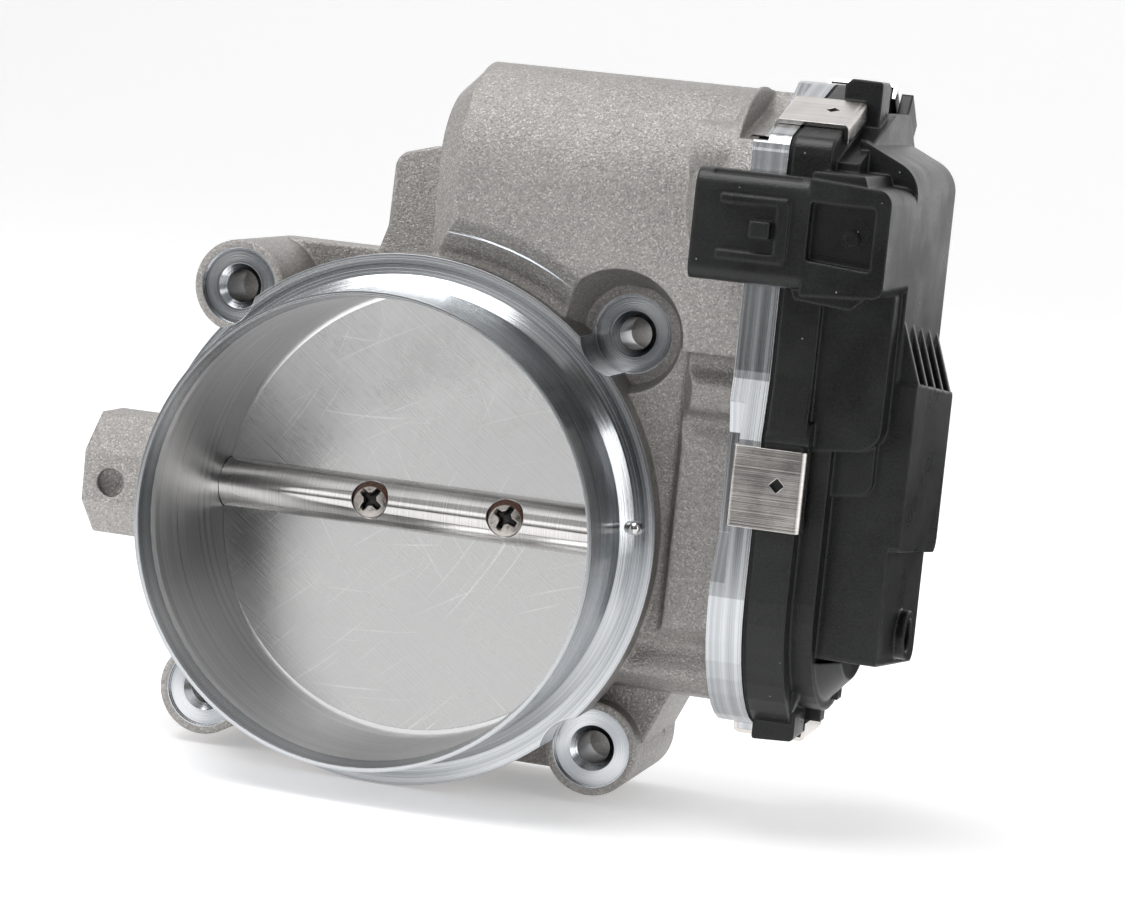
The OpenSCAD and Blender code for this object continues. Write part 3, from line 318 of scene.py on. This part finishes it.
# Tool marks: rings round the bore and the seats, straight lines on the flange.
tool_path = cast.plus(bore_distance, cast.times(cast_y, 0.83))
for own_path, area in ((seat_distance, on_seat), (cast_x, on_flange)):
    elsewhere = cast.times(tool_path, cast.minus(1.0, area))
    tool_path = cast.plus(elsewhere, cast.times(own_path, area))
fine_marks = cast.lines(tool_path, 4200.0)
broad_marks = cast.lines(tool_path, 700.0)
marks = cast.plus(cast.times(fine_marks, 0.6), cast.times(broad_marks, 0.8))

# Blasted skin: a coarse sand, a fine sand, bright and dark grains, slow clouds of
# shade, and edges rounded more where the metal is as cast.
coarse_sand = cast.noise(1600.0, 3.0, 0.7)
fine_sand = cast.noise(3900.0, 2.0, 0.6)
clouds = cast.noise(38.0, 3.0, 0.6)
grain = cast.parts(cast.cells(3300.0)["Color"])[0]
soft_edges = cast.rounded(cast.ease(cut, 0.0, 1.0, 0.0014, 0.00018))
shade = cast.plus(cast.times(coarse_sand, 0.3), cast.times(grain, 0.3))
shade = cast.plus(shade, cast.times(clouds, 0.3))
skin = cast.blend(cast.ease(shade, 0.15, 0.78), grey(0.27, 0.035), grey(0.46, 0.045))
skin = cast.blend(cast.times(cast.edges(soft_edges), 0.25), skin, grey(0.6, 0.03))
skin = cast.blend(cast.ease(grain, 0.84, 0.97, 0.0, 0.28), skin, grey(0.85, 0.03))
skin = cast.blend(cast.ease(grain, 0.14, 0.02, 0.0, 0.25), skin, grey(0.14, 0.03))

# Cut metal: its marks, and a painted reflection round each bolt seat, a bow tie of light.
seat_z = cast.minus(cast.size_of(cast_z), BOLT_HALF)
seat_x = cast.minus(cast.size_of(cast_x), BOLT_HALF)
seat_angle = cast.math("ARCTAN2", seat_z, seat_x)
# Painted reflection: each bolt seat is coloured lighter in two opposite sectors and darker in the
# other two, as a turned face reflects light.
painted_seat_reflection = cast.times(cast.math("SINE", cast.times(seat_angle, 2.0)), on_seat)
marks_and_seat_reflection = cast.plus(marks, cast.times(painted_seat_reflection, 0.3))
bright = cast.blend(cast.ease(marks_and_seat_reflection, 0.35, 1.05), grey(0.38, -0.05), grey(0.66, -0.02))
bore_tone = cast.blend(cast.ease(marks, 0.4, 1.0), grey(0.72), grey(0.88))
bright = cast.blend(in_bore, bright, bore_tone)
cast.give("Base Color", cast.blend(cut, skin, bright))

skin_gloss = cast.ease(fine_sand, 0.25, 0.75, 0.34, 0.52)
cut_gloss = cast.ease(marks, 0.3, 1.1, 0.13, 0.27)
cut_gloss = cast.plus(cut_gloss, cast.times(in_bore, 0.13))
gloss = cast.add("ShaderNodeMix", {0: cut, 2: skin_gloss, 3: cut_gloss}).outputs[0]
cast.give("Roughness", gloss)
sand_height = cast.plus(cast.times(coarse_sand, 0.9), cast.times(fine_sand, 0.5))
sand_height = cast.times(sand_height, cast.minus(1.0, cut))
sanded = cast.bump(sand_height, 1.0, 0.00036, soft_edges)
cast.give("Normal", cast.bump(cast.times(marks, cut), 0.6, 0.00005, sanded))
FINISHES = {"cast_aluminium": cast.material}

# --- Throttle plate -----------------------------------------------------------
# A disc of aluminium sheet, brushed and then handled: long straight brush lines,
# and arcs of fine scratches that cross them.
plate = Recipe("plate_metal", metallic=1.0)
plate_x, _, plate_z = plate.axes()
across_brush = plate.plus(plate.times(plate_x, 0.55), plate.times(plate_z, 0.83))
brush = plate.lines(across_brush, 2600.0, 3.0)
scratches = None
for centre_x, centre_z, pitch, thinness in (
        (-0.09, 0.05, 1500.0, 0.64),
        (0.06, -0.11, 1300.0, 0.65),
        (0.12, 0.09, 1700.0, 0.66),
        (-0.02, 0.14, 1100.0, 0.67)):
    reach = plate.from_axis(plate_x, plate_z, centre_x, centre_z)
    swing = plate.math("ARCTAN2", plate.minus(plate_z, centre_z), plate.minus(plate_x, centre_x))
    spot = plate.add("ShaderNodeCombineXYZ", {0: plate.times(reach, pitch),
                                              1: plate.times(swing, 3.0)}).outputs[0]
    family = plate.ease(plate.noise(1.0, 2.0, 0.55, spot), thinness, thinness + 0.08)
    scratches = plate.math("MAXIMUM", scratches, family) if scratches else family
haze = plate.noise(45.0, 4.0, 0.6)
plate_tone = plate.plus(plate.times(brush, 0.3), plate.times(haze, 0.7))
sheet_colour = plate.blend(plate.ease(plate_tone, 0.3, 0.7), grey(0.47, 0.005), grey(0.66))
plate.give("Base Color", plate.blend(plate.times(scratches, 0.34), sheet_colour, grey(0.92)))
plate.give("Roughness", plate.ease(plate_tone, 0.3, 0.7, 0.24, 0.36))
brush_height = plate.plus(plate.times(brush, 0.6), plate.times(scratches, 0.3))
plate.give("Normal", plate.bump(brush_height, 0.35, 0.00003, plate.rounded(0.00015)))
FINISHES["plate_metal"] = plate.material

# --- Shaft, pin and clips -----------------------------------------------------
# Ground steel for the shaft, and rolled spring steel for the clips, which has a
# faint warm sheen and lines along the strip. The metals inside share the recipe.


def metal_finish(name, level, warmth, roughness, line_axis=0, line_depth=0.25, patch=55.0):
    """Bright metal: fine lines across one axis, slow patches of shade, crisp edges."""
    recipe = Recipe(name, metallic=1.0)
    strokes = recipe.lines(recipe.axes()[line_axis], 3300.0, 3.0)
    patches = recipe.noise(patch, 4.0, 0.6)
    tone = recipe.plus(recipe.times(strokes, 0.5), recipe.times(patches, 0.5))
    crisp = recipe.rounded(0.00022)
    colour = recipe.blend(recipe.ease(tone, 0.3, 0.7),
                          grey(level * 0.78, warmth), grey(level * 1.12, warmth))
    # The edges are coloured lighter than the faces.
    edge_lightening = recipe.times(recipe.edges(crisp), 0.4)
    edge_colour = grey(min(level * 1.4, 0.95), warmth / 2)
    recipe.give("Base Color", recipe.blend(edge_lightening, colour, edge_colour))
    recipe.give("Roughness", recipe.ease(tone, 0.3, 0.7, roughness * 0.75, roughness * 1.35))
    recipe.give("Normal", recipe.bump(strokes, line_depth, 0.00002, crisp))
    return recipe.material


for name, look in {
        "bright_steel": dict(level=0.64, warmth=0.02, roughness=0.13, line_depth=0.04),
        "steel": dict(level=0.55, warmth=0.02, roughness=0.24),
        "spring_steel": dict(level=0.66, warmth=0.05, roughness=0.2, line_axis=2,
                             line_depth=0.3, patch=140.0),
        "dark_steel": dict(level=0.12, warmth=0.0, roughness=0.38),
        "copper": dict(level=0.42, warmth=0.45, roughness=0.3),
        "brass": dict(level=0.5, warmth=0.28, roughness=0.28)}.items():
    FINISHES[name] = metal_finish(name, **look)

# --- Gear cover ---------------------------------------------------------------
# Glass-filled black nylon, moulded with a fine spark texture. It has picked up a
# little pale dust, and its gloss changes from patch to patch. The gears, seals,
# magnet and circuit board inside share the recipe.


def moulded(name, dark, light, roughness, dust=0.0, shine=0.5):
    """Moulded plastic: spark texture, patches of gloss, rounded corners with painted highlights
    along them, specks of dust.
    """
    recipe = Recipe(name)
    corners = recipe.rounded(0.0009)
    spark = recipe.noise(2600.0, 3.0, 0.6)
    patches = recipe.noise(70.0, 3.0, 0.55)
    colour = recipe.blend(recipe.ease(recipe.plus(spark, patches), 0.7, 1.3), dark, light)
    # Painted highlight: the edges are coloured lighter, as rounded corners catch the light.
    colour = recipe.blend(recipe.times(recipe.edges(corners), 0.6), colour, light)
    if dust:
        cells = recipe.cells(420.0)
        chosen = recipe.ease(recipe.parts(cells["Color"])[0], 0.90, 0.92)
        speck = recipe.times(recipe.ease(cells["Distance"], 0.085, 0.05), chosen)
        colour = recipe.blend(recipe.times(speck, dust), colour, grey(0.4, 0.02))
    recipe.give("Base Color", colour)
    recipe.give("Specular IOR Level", shine)
    recipe.give("Roughness", recipe.ease(patches, 0.3, 0.7, roughness * 0.82, roughness * 1.2))
    recipe.give("Normal", recipe.bump(spark, 0.5, 0.00012, corners))
    return recipe.material


for name, look in {
        "black_plastic": dict(dark=grey(0.003, -0.05), light=grey(0.014, -0.05),
                              roughness=0.32, dust=0.7, shine=0.35),
        "sector_plastic": dict(dark=grey(0.03), light=grey(0.05), roughness=0.42),
        "gear_plastic": dict(dark=grey(0.55, 0.06), light=grey(0.7, 0.07), roughness=0.4),
        "seal_rubber": dict(dark=grey(0.012), light=grey(0.025), roughness=0.65),
        "magnet": dict(dark=grey(0.05), light=grey(0.1), roughness=0.5),
        "board": dict(dark=(0.008, 0.06, 0.02, 1.0), light=(0.015, 0.12, 0.04, 1.0),
                      roughness=0.35)}.items():
    FINISHES[name] = moulded(name, **look)

# Every drawn piece gets the finish of its slot.
for row in frame["record"]["subparts"]:
    slots = NODES[row["node"]].data.materials
    slots.clear()
    slots.append(FINISHES[row["material_slot"]])

# --- Plate screws -------------------------------------------------------------
# Two steel screws with low domed heads and a deep cross, sunk in the shaft. Dry
# thread lock shows as a red-brown line round each head.
SHAFT_Y = -0.019                    # the shaft's axis
SCREW_TILT = math.radians(-12.0)    # the screws lean with the plate at rest
HEAD_R = 0.00398
SCREWS = ((-0.0126, 0.62), (0.018, 0.45))    # place along the shaft, turn of the cross


def screw_mesh(name, centre_x, cross_turn):
    """A closed screw on a polar grid. Its profile runs from the head's centre over the dome,
    round the rim, down the head, along the shank and back to the axis. The dome's height is
    top - rise * (r / R) ** 2, less the cross, which is cross_deep times the greater of
    side * end and hub: side falls off across an arm, end along it, and hub round the axis."""
    top, seat, tip = 0.00552, 0.00362, -0.0051
    shank_r, chamfer = 0.002, 0.0003
    rise, rim = 0.00062, 0.00022
    cross_deep = 0.0019
    arm_half, arm_wall = 0.00072, 0.00028
    arm_end, arm_fade = 0.003, 0.0011
    hub_r, hub_fade = 0.0015, 0.0006
    rows_on_dome, columns = 44, 128

    dome_r = np.linspace(0.0, HEAD_R - rim, rows_on_dome)
    dome_h = top - rise * (dome_r / HEAD_R) ** 2
    rim_turn = np.linspace(0.0, math.pi / 2, 6)[1:]
    rim_r = HEAD_R - rim + rim * np.sin(rim_turn)
    rim_h = dome_h[-1] - rim * (1 - np.cos(rim_turn))
    side_r = [HEAD_R, HEAD_R - 0.00002, shank_r, shank_r, shank_r - chamfer, 0.0]
    side_h = [seat + 0.0002, seat, seat - 0.0001, tip + chamfer, tip, tip]
    profile_r = np.concatenate([dome_r, rim_r, side_r])
    profile_h = np.concatenate([dome_h, rim_h, side_h])

    turns = np.linspace(0.0, 2 * math.pi, columns, endpoint=False)
    radius, angle = np.meshgrid(profile_r, turns, indexing="ij")
    u = np.abs(radius * np.cos(angle - cross_turn))
    v = np.abs(radius * np.sin(angle - cross_turn))
    side = np.clip((arm_half - np.minimum(u, v)) / arm_wall, 0.0, 1.0)
    end = np.clip((arm_end - np.maximum(u, v)) / arm_fade, 0.0, 1.0)
    hub = np.clip((hub_r - radius) / hub_fade, 0.0, 1.0)
    on_dome = np.arange(len(profile_r))[:, None] < rows_on_dome
    sunk = np.maximum(side * end, hub) * on_dome
    height = profile_h[:, None] - cross_deep * sunk
    local = np.stack([radius * np.sin(angle), -height, radius * np.cos(angle)], -1)
    lean = np.array(Matrix.Rotation(SCREW_TILT, 3, "X"))
    points = local @ lean.T + np.array([centre_x, SHAFT_Y, 0.0])

    row, col = np.meshgrid(np.arange(len(profile_r) - 1), np.arange(columns), indexing="ij")
    here, beside = row * columns + col, row * columns + (col + 1) % columns
    quads = np.stack([here, beside, beside + columns, here + columns], -1)
    mesh = bpy.data.meshes.new(name)
    mesh.from_pydata(points.reshape(-1, 3).tolist(), [], quads.reshape(-1, 4).tolist())
    depth = mesh.attributes.new("cross_depth", "FLOAT", "POINT")
    depth.data.foreach_set("value", sunk.ravel())
    return mesh


def closed_form(mesh):
    """Merge doubled points, drop flat faces and point every face outwards."""
    form = bmesh.new()
    form.from_mesh(mesh)
    bmesh.ops.remove_doubles(form, verts=form.verts, dist=1e-7)
    bmesh.ops.dissolve_degenerate(form, edges=form.edges, dist=1e-8)
    bmesh.ops.recalc_face_normals(form, faces=form.faces)
    form.to_mesh(mesh)
    form.free()
    mesh.shade_smooth()


screw_steel = Recipe("screw_steel", metallic=1.0)
screw_x, _, screw_z = screw_steel.axes()
halfway = (SCREWS[0][0] + SCREWS[1][0]) / 2
half_gap = (SCREWS[1][0] - SCREWS[0][0]) / 2
from_halfway = screw_steel.size_of(screw_steel.minus(screw_x, halfway))
from_head = screw_steel.from_axis(from_halfway, screw_z, half_gap)
mottle = screw_steel.noise(900.0, 4.0, 0.65)
ragged = screw_steel.plus(from_head, screw_steel.times(mottle, 0.0003))
lock_ring = screw_steel.ease(ragged, 0.00375, 0.004)
# Mottled plated steel.
screw_colour = screw_steel.blend(screw_steel.ease(mottle, 0.3, 0.7), grey(0.42, 0.06), grey(0.62, 0.07))
in_cross = screw_steel.add("ShaderNodeAttribute", attribute_name="cross_depth").outputs["Fac"]
# Painted shade: the cross in each head is coloured nearly black where it sinks in.
screw_colour = screw_steel.blend(screw_steel.ease(in_cross, 0.1, 0.9), screw_colour, grey(0.035, 0.03))
screw_steel.give("Base Color", screw_steel.blend(lock_ring, screw_colour, (0.075, 0.028, 0.016, 1.0)))
screw_steel.give("Roughness", screw_steel.ease(mottle, 0.3, 0.7, 0.22, 0.4))
screw_steel.give("Metallic", screw_steel.ease(lock_ring, 0.0, 1.0, 1.0, 0.0))
screw_steel.give("Normal", screw_steel.bump(mottle, 0.3, 0.00004))
for number, (centre_x, cross_turn) in enumerate(SCREWS, 1):
    mesh = screw_mesh(f"plate_screw_{number}", centre_x, cross_turn)
    closed_form(mesh)
    mesh.materials.append(screw_steel.material)
    screw = bpy.data.objects.new(mesh.name, mesh)
    scene.collection.objects.link(screw)
    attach(screw, "throttle")
    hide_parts("plate_screws")
